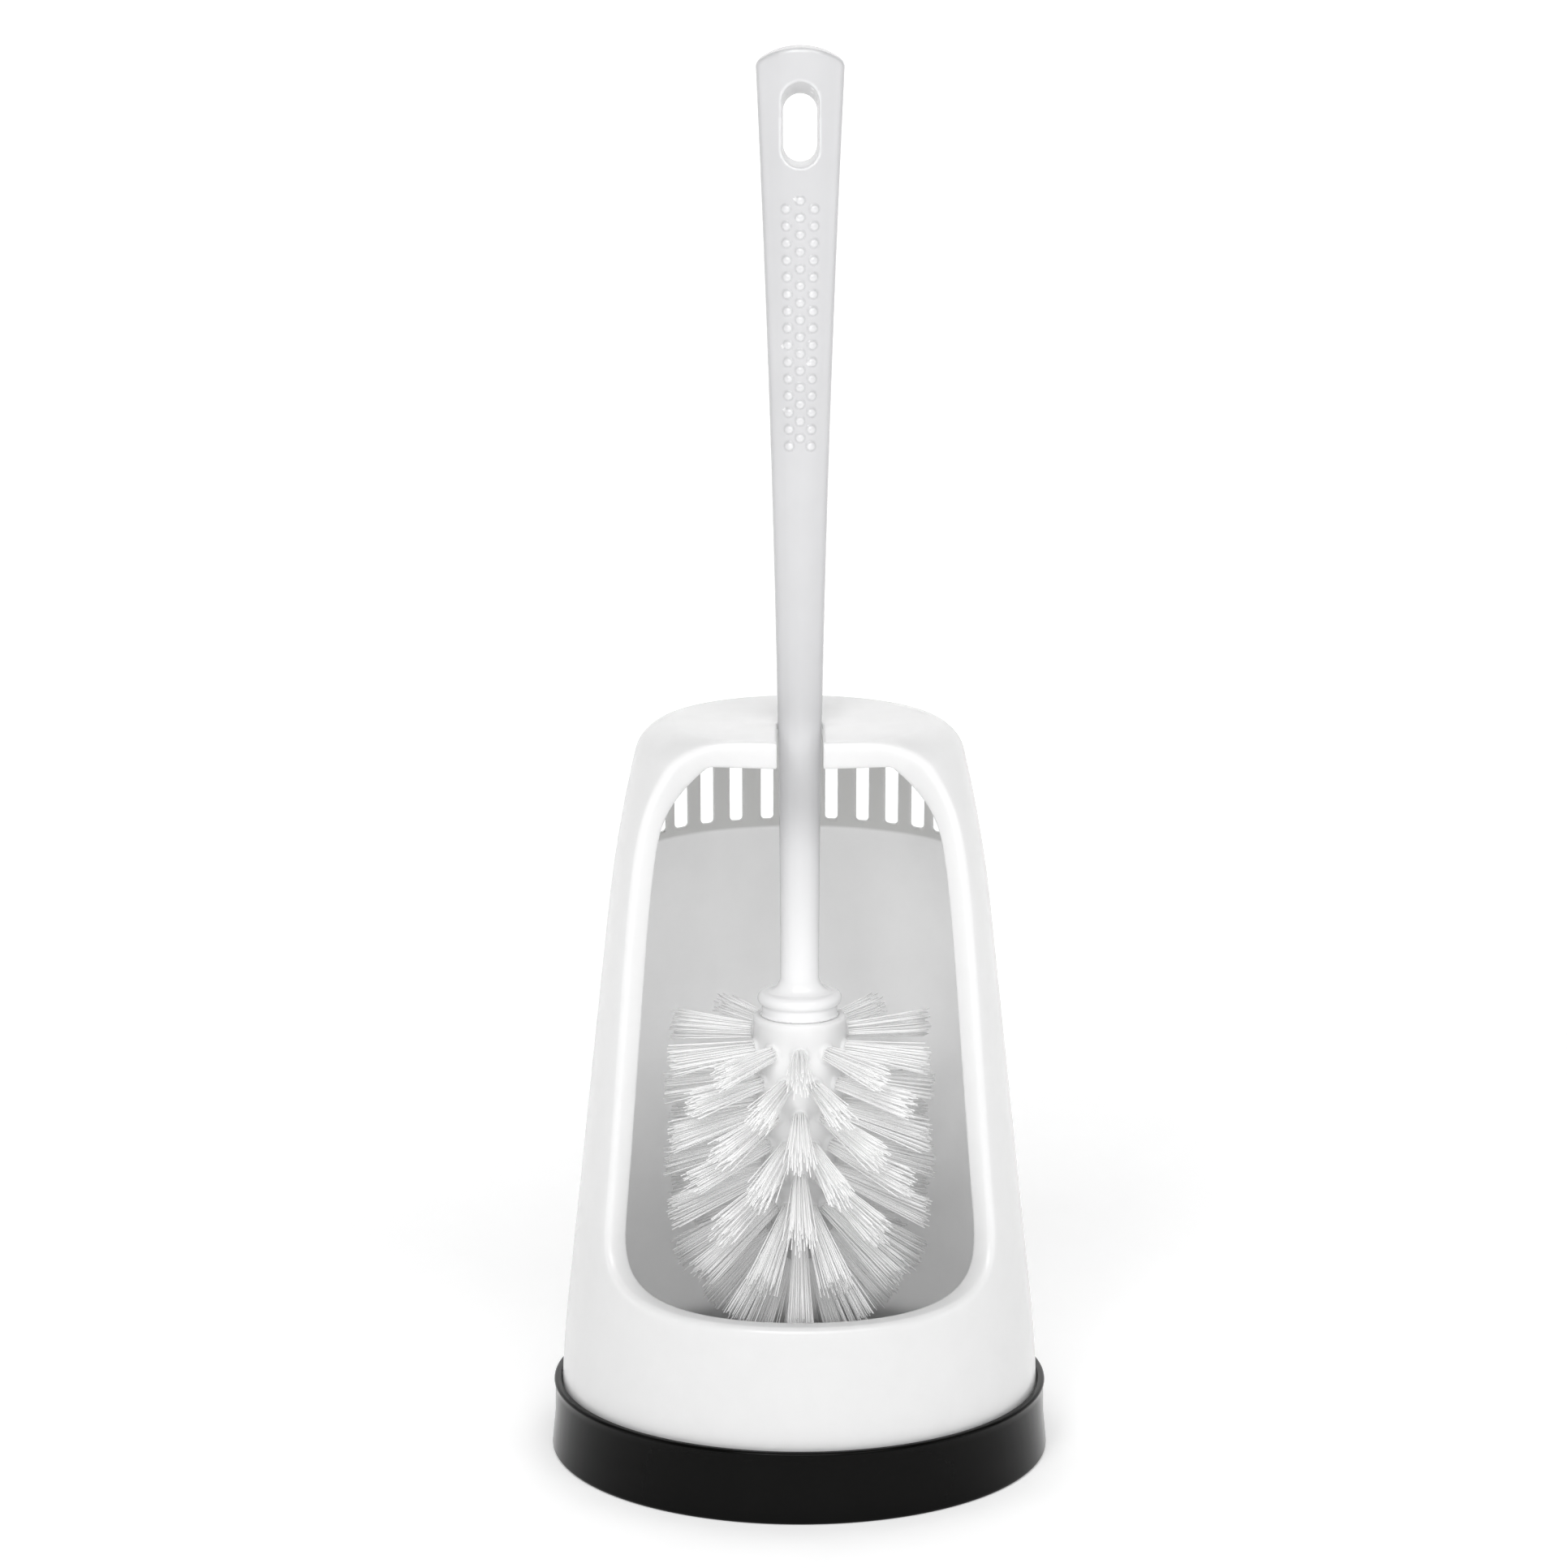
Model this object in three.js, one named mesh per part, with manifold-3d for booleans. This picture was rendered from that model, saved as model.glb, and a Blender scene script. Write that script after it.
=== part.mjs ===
// Toilet brush in a closed-hood holder: a black drip tray, a white conical holder with an
// arched opening in its front, and a brush that hangs by its tapered handle in the hood's notch.
// Millimetres. +Z is up, the opening faces -Y, and the origin is the centre of the standing face.
import * as THREE from 'three';
import { mergeVertices } from 'three/addons/utils/BufferGeometryUtils.js';
import Module from 'manifold-3d';

// ---- driving dimensions ----
const TOTAL_HEIGHT = 378.5;
const CLEARANCE = 0.3; // between pieces that touch
const ROUND_STEPS = 48; // sides of the tray and the holder
const CORE_STEPS = 30; // sides of the brush head's round pieces

const TRAY = {
  footRadius: 67.5,
  rimRadius: 66.9,
  wall: 2.0,
  height: 19.5,
  floor: 2.5,
};

const HOLDER = {
  footRadius: 64.5,
  waistRadius: 63.1, // where the foot turns into the straight cone
  waistHeight: 40,
  crownRadius: 50.8, // where the straight cone turns into the crown
  crownHeight: 153.8,
  bendHeight: 166.7, // where the cone's line and the shoulder's line cross
  shoulderRadius: 46.2, // where the crown turns into the rounded top edge
  shoulderHeight: 182,
  topFlatRadius: 34,
  topHeight: 201.2,
  wall: 2.0,
};

// The arched opening, on the unrolled wall: half-angles round the axis, and lengths up the profile
const OPENING = {
  bottom: 32,
  top: 184,
  lowerCorner: 26.5,
  upperCorner: 35,
  lowerHalfAngle: THREE.MathUtils.degToRad(58.4),
  upperHalfAngle: THREE.MathUtils.degToRad(62.2),
  lowerRoundness: 4,
  upperRoundness: 2.35,
  lipDepth: 6,
  lipThickness: 2,
  steps: 8, // outline points on each corner
};

const GRILLE = {
  slots: 11,
  pitch: THREE.MathUtils.degToRad(10.8),
  ringRadius: 47.4, // of the middle of the wall that the slots go straight back through
  width: 3.4,
  bottom: 164,
  top: 188,
};

const NOTCH_WIDTH = 12.2;

const HANDLE = {
  stemRadius: 5.25,
  stemTop: 136,
  topWidth: 23.1,
  topDepth: 14,
  shoulderHeight: 374,
  capRadius: 19,
  flare: 1.74, // power of the widening towards the top
  squareness: 2.6,
};

const HANG_HOLE = {
  bottom: 347.6,
  frontWidth: 10,
  frontTop: 370,
  backWidth: 8.7,
  backTop: 365.8,
};

const COLLAR = {
  flareTop: 133,
  ringRadius: 11.35,
  ringCentre: 125,
  ringHalfHeight: 1.75,
  neckRadius: 10.2,
  bottom: 120.6,
  spigotRadius: 5,
  spigotBottom: 96,
};

const HEAD = {
  top: 120.3,
  flangeRadius: 12.7,
  flangeBottom: 118.2,
  coreRadius: 12.4,
  taperTop: 104,
  taperBottom: 68,
  tipRadius: 8,
  bottom: 52,
};

const TUFTS = {
  envelopeRadius: 36.5,
  roundingCentre: 67, // height of the centre of the ball that closes the envelope
  rootRadius: 2,
  endRadius: 4.8,
  firstRow: 112,
  rowPitch: 8.67,
  bandHeight: 3,
  bandThickness: 1,
  backRaise: 3, // how much higher the top ring's back tufts stand, level instead of drooping
  endCount: 5, // tufts round the one that points straight down
  endDroop: 70,
  endSpread: 3,
};
// Tufts in each ring and their droop in degrees, from the top ring down
const ROWS = [
  { tufts: 10, droop: 4 },
  { tufts: 10, droop: 7 },
  { tufts: 10, droop: 13 },
  { tufts: 10, droop: 15 },
  { tufts: 10, droop: 19 },
  { tufts: 10, droop: 32 },
  { tufts: 8, droop: 50 },
];

// ---- materials ----
const white = (color, roughness) =>
  new THREE.MeshStandardMaterial({ color, roughness, metalness: 0 });
const MATERIAL = {
  tray: new THREE.MeshStandardMaterial({ color: 0x141414, roughness: 0.2, metalness: 0 }),
  holder: white(0xeeeeee, 0.22),
  handle: white(0xe9e9e9, 0.28),
  core: white(0xdcdcdc, 0.4),
  bristles: white(0xf1f1f1, 0.55),
};

// ---- solids ----
const wasm = await Module();
wasm.setup();

function solidOf(geometry) {
  const bare = geometry.clone();
  bare.deleteAttribute('normal');
  bare.deleteAttribute('uv');
  const merged = mergeVertices(bare, 1e-4);
  const solid = new wasm.Manifold(
    new wasm.Mesh({
      numProp: 3,
      vertProperties: merged.attributes.position.array,
      triVerts: new Uint32Array(merged.index.array),
    }),
  );
  if (solid.volume() <= 0) throw new Error('a solid has its faces pointing inwards');
  return solid;
}

function meshOf(name, solid, material) {
  const result = solid.getMesh();
  const geometry = new THREE.BufferGeometry();
  geometry.setAttribute('position', new THREE.BufferAttribute(result.vertProperties, 3));
  geometry.setIndex(new THREE.BufferAttribute(result.triVerts, 1));
  geometry.computeVertexNormals();
  const mesh = new THREE.Mesh(geometry, material);
  mesh.name = name;
  return mesh;
}

// Turns a closed profile of (radius, height) points, which runs up its outside, round the Z axis
function turned(profile, steps = ROUND_STEPS) {
  const points = profile.map(([radius, height]) => new THREE.Vector2(radius, height));
  points.push(points[0].clone());
  return solidOf(new THREE.LatheGeometry(points, steps).rotateX(Math.PI / 2));
}

// Joins rings of points into a closed body, with a fan to a given point over each end
function lofted(rings, firstTip, lastTip) {
  const count = rings[0].length;
  const points = [...rings.flat(), firstTip, lastTip];
  const index = [];
  for (let r = 0; r + 1 < rings.length; r++) {
    for (let i = 0; i < count; i++) {
      const a = r * count + i;
      const b = r * count + ((i + 1) % count);
      index.push(a, b, b + count, a, b + count, a + count);
    }
  }
  const last = (rings.length - 1) * count;
  for (let i = 0; i < count; i++) {
    const next = (i + 1) % count;
    index.push(points.length - 2, next, i);
    index.push(points.length - 1, last + i, last + next);
  }
  const geometry = new THREE.BufferGeometry().setFromPoints(points);
  geometry.setIndex(index);
  return solidOf(geometry);
}

// Extrudes a shape drawn in the XZ plane from y = front to y = back
function throughY(shape, front, back) {
  const geometry = new THREE.ExtrudeGeometry(shape, {
    depth: back - front,
    bevelEnabled: false,
    curveSegments: 8,
  });
  return solidOf(geometry.rotateX(Math.PI / 2).translate(0, back, 0));
}

// ---- drip tray ----
function dripTray() {
  const innerRadius = TRAY.rimRadius - TRAY.wall;
  return turned([
    [0, 0],
    [TRAY.footRadius - 0.6, 0],
    [TRAY.footRadius, 0.8],
    [TRAY.rimRadius - 0.2, 9],
    [TRAY.rimRadius, TRAY.height - 0.5],
    [TRAY.rimRadius - 0.5, TRAY.height],
    [innerRadius, TRAY.height],
    [innerRadius, TRAY.floor],
    [0, TRAY.floor],
  ]);
}

// ---- holder ----
// The outer profile, from the foot up to the middle of the top
function holderProfile() {
  const foot = TRAY.floor + CLEARANCE;
  const coneSlope =
    (HOLDER.waistRadius - HOLDER.crownRadius) / (HOLDER.crownHeight - HOLDER.waistHeight);
  const { bendHeight } = HOLDER;
  const bendRadius = HOLDER.crownRadius - coneSlope * (bendHeight - HOLDER.crownHeight);
  const shoulderSlope =
    (bendRadius - HOLDER.shoulderRadius) / (HOLDER.shoulderHeight - bendHeight);
  const cornerRadius =
    HOLDER.shoulderRadius - shoulderSlope * (HOLDER.topHeight - HOLDER.shoulderHeight);
  const path = new THREE.Path();
  path.moveTo(HOLDER.footRadius, foot);
  path.lineTo(HOLDER.footRadius, TRAY.height);
  path.quadraticCurveTo(
    HOLDER.footRadius - 0.2,
    30,
    HOLDER.waistRadius,
    HOLDER.waistHeight,
  );
  path.lineTo(HOLDER.crownRadius, HOLDER.crownHeight);
  path.quadraticCurveTo(
    bendRadius,
    bendHeight,
    HOLDER.shoulderRadius,
    HOLDER.shoulderHeight,
  );
  path.quadraticCurveTo(
    cornerRadius,
    HOLDER.topHeight,
    HOLDER.topFlatRadius,
    HOLDER.topHeight,
  );
  path.lineTo(0, HOLDER.topHeight);
  return path.getPoints(4);
}

// The profile's outward normal at each of its points
function profileNormals(points) {
  return points.map((point, i) => {
    const before = points[Math.max(i - 1, 0)];
    const after = points[Math.min(i + 1, points.length - 1)];
    const along = after.clone().sub(before).normalize();
    return new THREE.Vector2(along.y, -along.x);
  });
}

const PROFILE = holderProfile();
const NORMALS = profileNormals(PROFILE);

// A point of the wall, given the half-angle from the front, the length up the profile
// and the depth below the outer face
function wallPoint(angle, length, depth) {
  let i = 0;
  let left = length;
  while (i + 2 < PROFILE.length && left > PROFILE[i].distanceTo(PROFILE[i + 1])) {
    left -= PROFILE[i].distanceTo(PROFILE[i + 1]);
    i++;
  }
  const share = left / PROFILE[i].distanceTo(PROFILE[i + 1]);
  const point = PROFILE[i].clone().lerp(PROFILE[i + 1], share);
  const normal = NORMALS[i].clone().lerp(NORMALS[i + 1], share).normalize();
  point.addScaledVector(normal, -depth);
  return new THREE.Vector3(
    point.x * Math.sin(angle),
    -point.x * Math.cos(angle),
    point.y,
  );
}

// The opening's closed outline as (angle, length) pairs, grown by a margin
function openingOutline(grow) {
  const footDrop = TRAY.height - TRAY.floor - CLEARANCE; // the profile starts inside the tray
  const bottom = OPENING.bottom + footDrop - grow;
  const top = OPENING.top + footDrop + grow;
  const growAngle = grow / HOLDER.crownRadius;
  const corner = (t, roundness) => [
    Math.sin(t) ** (2 / roundness),
    1 - Math.cos(t) ** (2 / roundness),
  ];
  const half = [];
  for (let i = 0; i <= OPENING.steps; i++) {
    const [across, up] = corner((i / OPENING.steps) * (Math.PI / 2), OPENING.lowerRoundness);
    half.push([
      across * (OPENING.lowerHalfAngle + growAngle),
      bottom + up * OPENING.lowerCorner,
    ]);
  }
  for (let i = OPENING.steps; i >= 0; i--) {
    const [across, down] = corner((i / OPENING.steps) * (Math.PI / 2), OPENING.upperRoundness);
    half.push([
      across * (OPENING.upperHalfAngle + growAngle),
      top - down * OPENING.upperCorner,
    ]);
  }
  const otherHalf = half.slice(1, -1).reverse();
  return [...half, ...otherHalf.map(([angle, length]) => [-angle, length])];
}

// A plug through the opening, between two depths below the outer face
function openingPlug(grow, outerDepth, innerDepth, outerTipY, innerTipY) {
  const outline = openingOutline(grow);
  const ringAt = (depth) =>
    outline.map(([angle, length]) => wallPoint(angle, length, depth)).reverse();
  const middle = (HOLDER.waistHeight + HOLDER.topHeight) / 2;
  return lofted(
    [ringAt(outerDepth), ringAt(innerDepth)],
    new THREE.Vector3(0, outerTipY, middle),
    new THREE.Vector3(0, innerTipY, middle),
  );
}

function grilleSlot(k) {
  const half = GRILLE.width / 2;
  const shape = new THREE.Shape();
  shape.moveTo(-half, -GRILLE.top);
  shape.lineTo(half, -GRILLE.top);
  shape.lineTo(half, -GRILLE.bottom);
  shape.lineTo(-half, -GRILLE.bottom);
  const across = GRILLE.ringRadius * Math.sin(k * GRILLE.pitch);
  return throughY(shape, 20, 60).translate([across, 0, 0]);
}

// The U-shaped cut in the hood that the handle slides into
function hoodNotch() {
  const radius = NOTCH_WIDTH / 2;
  const shape = new THREE.Shape();
  shape.moveTo(-radius, -80);
  shape.lineTo(radius, -80);
  shape.lineTo(radius, 0);
  shape.absarc(0, 0, radius, 0, Math.PI, false);
  const geometry = new THREE.ExtrudeGeometry(shape, {
    depth: 30,
    bevelEnabled: false,
    curveSegments: 10,
  });
  return solidOf(geometry.translate(0, 0, HOLDER.topHeight - 15));
}

function holderShell() {
  const outer = PROFILE.map((point) => [point.x, point.y]);
  const inner = PROFILE.map((point, i) => {
    const moved = point.clone().addScaledVector(NORMALS[i], -HOLDER.wall);
    return [Math.max(moved.x, 0), moved.y];
  });
  inner[0][1] = PROFILE[0].y;
  let shell = turned([...outer, ...inner.reverse()]);
  const lip = openingPlug(OPENING.lipThickness, 0.4, OPENING.lipDepth, -48, -28);
  shell = shell.add(lip).subtract(openingPlug(0, -12, OPENING.lipDepth + 2, -130, -4));
  const middle = (GRILLE.slots - 1) / 2;
  for (let i = 0; i < GRILLE.slots; i++) {
    shell = shell.subtract(grilleSlot(i - middle));
  }
  return shell.subtract(hoodNotch());
}

// ---- brush handle ----
// How far a height is along the widening part of the handle, from 0 to 1
function handleShare(height) {
  const share = (height - HANDLE.stemTop) / (HANDLE.shoulderHeight - HANDLE.stemTop);
  return THREE.MathUtils.clamp(share, 0, 1) ** HANDLE.flare;
}

// Its section is round at the stem and squarer towards the top
function handleSection(height) {
  const share = handleShare(height);
  return {
    halfWidth: THREE.MathUtils.lerp(HANDLE.stemRadius, HANDLE.topWidth / 2, share),
    halfDepth: THREE.MathUtils.lerp(HANDLE.stemRadius, HANDLE.topDepth / 2, share),
    squareness: THREE.MathUtils.lerp(2, HANDLE.squareness, share),
  };
}

function handleRing(height, { halfWidth, halfDepth, squareness }) {
  const ring = [];
  const sides = 18;
  const power = 2 / squareness;
  for (let i = 0; i < sides; i++) {
    const turn = (i / sides) * Math.PI * 2;
    const x = Math.sign(Math.cos(turn)) * Math.abs(Math.cos(turn)) ** power;
    const y = Math.sign(Math.sin(turn)) * Math.abs(Math.sin(turn)) ** power;
    ring.push(new THREE.Vector3(x * halfWidth, y * halfDepth, height));
  }
  return ring;
}

function handleBlade() {
  const rings = [];
  const stepsUp = 9;
  for (let i = 0; i <= stepsUp; i++) {
    const height = THREE.MathUtils.lerp(
      HANDLE.stemTop - 6,
      HANDLE.shoulderHeight,
      i / stepsUp,
    );
    rings.push(handleRing(height, handleSection(height)));
  }
  const capCentre = TOTAL_HEIGHT - HANDLE.capRadius;
  for (const share of [0.9, 0.7, 0.4]) {
    const halfWidth = (HANDLE.topWidth / 2) * share;
    const height = capCentre + Math.sqrt(HANDLE.capRadius ** 2 - halfWidth ** 2);
    const halfDepth = (HANDLE.topDepth / 2) * Math.sqrt(share);
    rings.push(handleRing(height, { ...handleSection(height), halfWidth, halfDepth }));
  }
  const foot = new THREE.Vector3(0, 0, HANDLE.stemTop - 6);
  return lofted(rings, foot, new THREE.Vector3(0, 0, TOTAL_HEIGHT));
}

// One end of the hanging hole: a loop with round ends, in a plane across Y
function hangHoleRing(y, width, top) {
  const radius = width / 2;
  const shape = new THREE.Shape();
  shape.absarc(0, top - radius, radius, 0, Math.PI, false);
  shape.absarc(0, HANG_HOLE.bottom + radius, radius, Math.PI, 2 * Math.PI, false);
  return shape
    .getPoints(6)
    .map((point) => new THREE.Vector3(point.x, y, point.y))
    .reverse();
}

// The hole's loop is larger at the front, so it is drawn well past both faces at one slope
function hangHole() {
  const halfDepth = HANDLE.topDepth / 2;
  const taper = (y, front, back) =>
    front + ((back - front) * (y + halfDepth)) / HANDLE.topDepth;
  const ringAt = (y) =>
    hangHoleRing(
      y,
      taper(y, HANG_HOLE.frontWidth, HANG_HOLE.backWidth),
      taper(y, HANG_HOLE.frontTop, HANG_HOLE.backTop),
    );
  const middle = (HANG_HOLE.bottom + HANG_HOLE.frontTop) / 2;
  const reach = halfDepth + 3;
  return lofted(
    [ringAt(-reach), ringAt(reach)],
    new THREE.Vector3(0, -reach, middle),
    new THREE.Vector3(0, reach, middle),
  );
}

// The spigot, neck, ring and flare that join the handle to the brush head
function handleCollar() {
  const { flareTop, ringRadius, ringCentre, ringHalfHeight, neckRadius, bottom } = COLLAR;
  const ringBottom = ringCentre - ringHalfHeight;
  const ringTop = ringCentre + ringHalfHeight;
  const stem = HANDLE.stemRadius - 0.2; // ends inside the handle
  return turned(
    [
      [0, COLLAR.spigotBottom],
      [COLLAR.spigotRadius, COLLAR.spigotBottom],
      [COLLAR.spigotRadius, bottom],
      [neckRadius, bottom],
      [neckRadius, ringBottom],
      [ringRadius - 0.5, ringBottom + 0.1],
      [ringRadius, ringCentre - 0.7],
      [ringRadius, ringCentre + 0.7],
      [ringRadius - 0.8, ringTop],
      [8.4, ringTop + 0.6],
      [6.4, ringTop + 2.2],
      [stem, flareTop],
      [0, flareTop],
    ],
    CORE_STEPS,
  );
}

function brushHandle() {
  return handleBlade().add(handleCollar()).subtract(hangHole());
}

// ---- brush head ----
function coreRadiusAt(height) {
  if (height > HEAD.taperTop) return HEAD.coreRadius;
  if (height > HEAD.taperBottom) {
    const share = (height - HEAD.taperBottom) / (HEAD.taperTop - HEAD.taperBottom);
    return THREE.MathUtils.lerp(HEAD.tipRadius, HEAD.coreRadius, share);
  }
  const drop = (HEAD.taperBottom - height) / (HEAD.taperBottom - HEAD.bottom);
  return HEAD.tipRadius * Math.sqrt(Math.max(1 - drop ** 2, 0));
}

// The core's outer profile from its round end up to just under its top flange
function coreProfile() {
  const heights = [52.5, 54, 56.5, 60, 64, HEAD.taperBottom, HEAD.taperTop, HEAD.flangeBottom];
  return [[0, HEAD.bottom], ...heights.map((height) => [coreRadiusAt(height), height])];
}

function headCore() {
  const socketRadius = COLLAR.spigotRadius + CLEARANCE;
  const socketBottom = COLLAR.spigotBottom - CLEARANCE;
  return turned(
    [
      ...coreProfile(),
      [HEAD.flangeRadius, HEAD.flangeBottom],
      [HEAD.flangeRadius, HEAD.top],
      [socketRadius, HEAD.top],
      [socketRadius, socketBottom],
      [0, socketBottom],
    ],
    CORE_STEPS,
  );
}

// ---- bristles ----
// How far a tuft reaches from its root, along its droop, to the rounded envelope
function tuftLength(rootRadius, rootHeight, droop) {
  let length = 0;
  let within = true;
  while (within) {
    length += 0.25;
    const radius = rootRadius + length * Math.cos(droop);
    const drop = Math.max(
      TUFTS.roundingCentre - (rootHeight - length * Math.sin(droop)),
      0,
    );
    within = Math.hypot(radius, drop) < TUFTS.envelopeRadius;
  }
  return length;
}

function tuft(rootRadius, rootHeight, droop, turn) {
  const length = tuftLength(rootRadius, rootHeight, droop);
  const geometry = new THREE.CylinderGeometry(TUFTS.endRadius, TUFTS.rootRadius, length, 6);
  geometry.translate(0, length / 2, 0); // its root at the origin, growing along +Y
  geometry.rotateX(-droop);
  geometry.translate(0, rootRadius, rootHeight);
  geometry.rotateZ(Math.PI + turn);
  return solidOf(geometry);
}

// The room that the core takes up, which every tuft keeps clear of
function coreRoom() {
  const [tip, ...wall] = coreProfile();
  const grown = wall.map(([radius, height]) => [radius + CLEARANCE, height]);
  const bottom = tip[1] - CLEARANCE;
  return turned([[0, bottom], [0.8, bottom], ...grown, [0, HEAD.flangeBottom]], CORE_STEPS);
}

const CORE_ROOM = coreRoom();

// The disc whose rim, once the core's room is cut away, is the band that carries a ring of tufts
function rowDisc(lowest, highest) {
  const low = lowest - TUFTS.bandHeight / 2;
  const high = highest + TUFTS.bandHeight / 2;
  const reach = CLEARANCE + TUFTS.bandThickness;
  return turned(
    [
      [0, low],
      [coreRadiusAt(low) + reach, low],
      [coreRadiusAt(high) + reach, high],
      [0, high],
    ],
    CORE_STEPS,
  );
}

function tuftRow(rowIndex) {
  const { tufts, droop } = ROWS[rowIndex];
  const height = TUFTS.firstRow - rowIndex * TUFTS.rowPitch;
  const rootRadius = coreRadiusAt(height) + CLEARANCE + TUFTS.bandThickness / 2;
  const step = (2 * Math.PI) / tufts;
  const backHeight = rowIndex === 0 ? height + TUFTS.backRaise : height;
  let row = rowDisc(height, backHeight);
  for (let i = 0; i < tufts; i++) {
    const turn = (i + (rowIndex % 2) / 2) * step;
    const raised = rowIndex === 0 && Math.cos(turn) < -0.2;
    const fall = raised ? 0 : THREE.MathUtils.degToRad(droop);
    row = row.add(tuft(rootRadius, raised ? backHeight : height, fall, turn));
  }
  return row.subtract(CORE_ROOM);
}

// The tufts under the round end of the core, on a small cap of their own
function endTufts() {
  const capTop = HEAD.bottom - CLEARANCE;
  let end = turned(
    [
      [0, capTop - 1.5],
      [4, capTop - 1.5],
      [4.5, capTop],
      [0, capTop],
    ],
    16,
  );
  end = end.add(tuft(0, capTop - 0.5, Math.PI / 2, 0));
  const droop = THREE.MathUtils.degToRad(TUFTS.endDroop);
  for (let i = 0; i < TUFTS.endCount; i++) {
    const turn = (i / TUFTS.endCount) * 2 * Math.PI;
    end = end.add(tuft(TUFTS.endSpread, capTop - 1, droop, turn));
  }
  return end.subtract(CORE_ROOM);
}

// ---- assembly ----
const tray = new THREE.Group();
tray.name = 'tray';
tray.add(meshOf('base_tray', dripTray(), MATERIAL.tray));

const holder = new THREE.Group();
holder.name = 'holder';
holder.add(meshOf('holder_shell', holderShell(), MATERIAL.holder));

const brush = new THREE.Group();
brush.name = 'brush';
brush.add(meshOf('brush_handle', brushHandle(), MATERIAL.handle));
brush.add(meshOf('brush_head_core', headCore(), MATERIAL.core));
for (let i = 0; i < ROWS.length; i++) {
  brush.add(meshOf(`bristle_row_${i + 1}`, tuftRow(i), MATERIAL.bristles));
}
brush.add(meshOf('bristle_end_tufts', endTufts(), MATERIAL.bristles));

const group = new THREE.Group();
group.name = 'toilet_brush_holder';
group.add(tray, holder, brush);

export default group;
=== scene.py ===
"""A toilet brush hanging in its notched, open-fronted holder on a black drip tray.

The moulded pieces are drawn as fields: functions that give about how far a point is outside the
piece, in millimetres, so that walls, fillets and lips are offsets and rounded joins of a few plain
shapes. skin_of() turns a field into a mesh of small quads that lie on its surface. The bristles are
drawn one by one.
"""
import math

import bpy
import numpy as np
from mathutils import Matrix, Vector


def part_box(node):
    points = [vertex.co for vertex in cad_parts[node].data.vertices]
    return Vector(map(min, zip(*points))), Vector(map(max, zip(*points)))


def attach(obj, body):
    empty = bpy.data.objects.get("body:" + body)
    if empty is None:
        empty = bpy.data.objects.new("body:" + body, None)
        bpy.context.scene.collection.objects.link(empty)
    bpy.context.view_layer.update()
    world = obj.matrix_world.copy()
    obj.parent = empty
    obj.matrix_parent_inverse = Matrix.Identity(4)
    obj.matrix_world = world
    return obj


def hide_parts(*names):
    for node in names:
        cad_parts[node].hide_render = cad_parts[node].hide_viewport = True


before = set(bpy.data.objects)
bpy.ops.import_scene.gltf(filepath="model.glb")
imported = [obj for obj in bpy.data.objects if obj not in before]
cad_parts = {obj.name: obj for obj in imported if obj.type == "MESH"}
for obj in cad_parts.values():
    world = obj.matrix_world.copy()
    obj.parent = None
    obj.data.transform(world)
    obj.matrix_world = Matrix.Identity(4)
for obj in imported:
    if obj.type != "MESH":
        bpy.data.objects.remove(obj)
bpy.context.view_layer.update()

MM = 0.001


def node_box(node):
    """A CAD node's lowest and highest corners in millimetres."""
    low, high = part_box(node)
    return np.array(low) / MM, np.array(high) / MM


_, TRAY_HIGH = node_box("base_tray")
HOLDER_LOW, HOLDER_HIGH = node_box("holder_shell")
HANDLE_LOW, HANDLE_HIGH = node_box("brush_handle")
CORE_LOW, CORE_HIGH = node_box("brush_head_core")

# ---- driving dimensions, in millimetres ----
TRAY_FOOT_RADIUS = TRAY_HIGH[0]
TRAY_HEIGHT = TRAY_HIGH[2]
TRAY_RIM_RADIUS = TRAY_FOOT_RADIUS - 0.6
TRAY_WALL = 2.1
TRAY_FLOOR = 2.5

HOLDER_FOOT = HOLDER_LOW[2]
HOLDER_TOP = HOLDER_HIGH[2]
WALL = 2.0
CONE_RADIUS = 50.8  # of the straight cone, at CONE_HEIGHT
CONE_HEIGHT = 153.8
CONE_SLOPE = 0.1081
FOOT_BEND = 40.0  # below this the wall turns upright
FOOT_CURVE = 0.00185
CROWN_BEND = 150.0  # above this it leans in
CROWN_CURVE = 0.0015
HOOD_ROUNDING = 8.0
BEND_RADIUS = 22.0  # the lip points to a circle of this radius at BEND_HEIGHT
BEND_HEIGHT = 174.0
BEND = 25.6  # from that circle out to the wall
HOOD_DENT = 1.4  # how deep the hood dips round the handle
HOOD_DENT_REACH = 20  # how far the dip spreads to each side
HOOD_DENT_MIDDLE = 4  # its middle, behind the axis
HOOD_DENT_LENGTH = 12  # how far it spreads forwards and back

OPENING_BOTTOM = 51.7
OPENING_TOP = 204.6
OPENING_LOWER_CORNER = 26.5
OPENING_UPPER_CORNER = 39.2
OPENING_LOWER_ANGLE = math.radians(58.4)
OPENING_UPPER_ANGLE = math.radians(62.2)
OPENING_LOWER_POWER = 4.05
OPENING_UPPER_POWER = 2.5
FOLD_RADIUS = 1.6
LIP_DEPTH = 6.0
LIP_DEEPER = 1.7  # more of it at the opening's top
LIP_EDGE = 0.7  # roundings of the edges of the lip, foot, slots and notch
FOOT_EDGE = 0.6
SLOT_EDGE = 0.4
NOTCH_EDGE = 0.5

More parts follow.
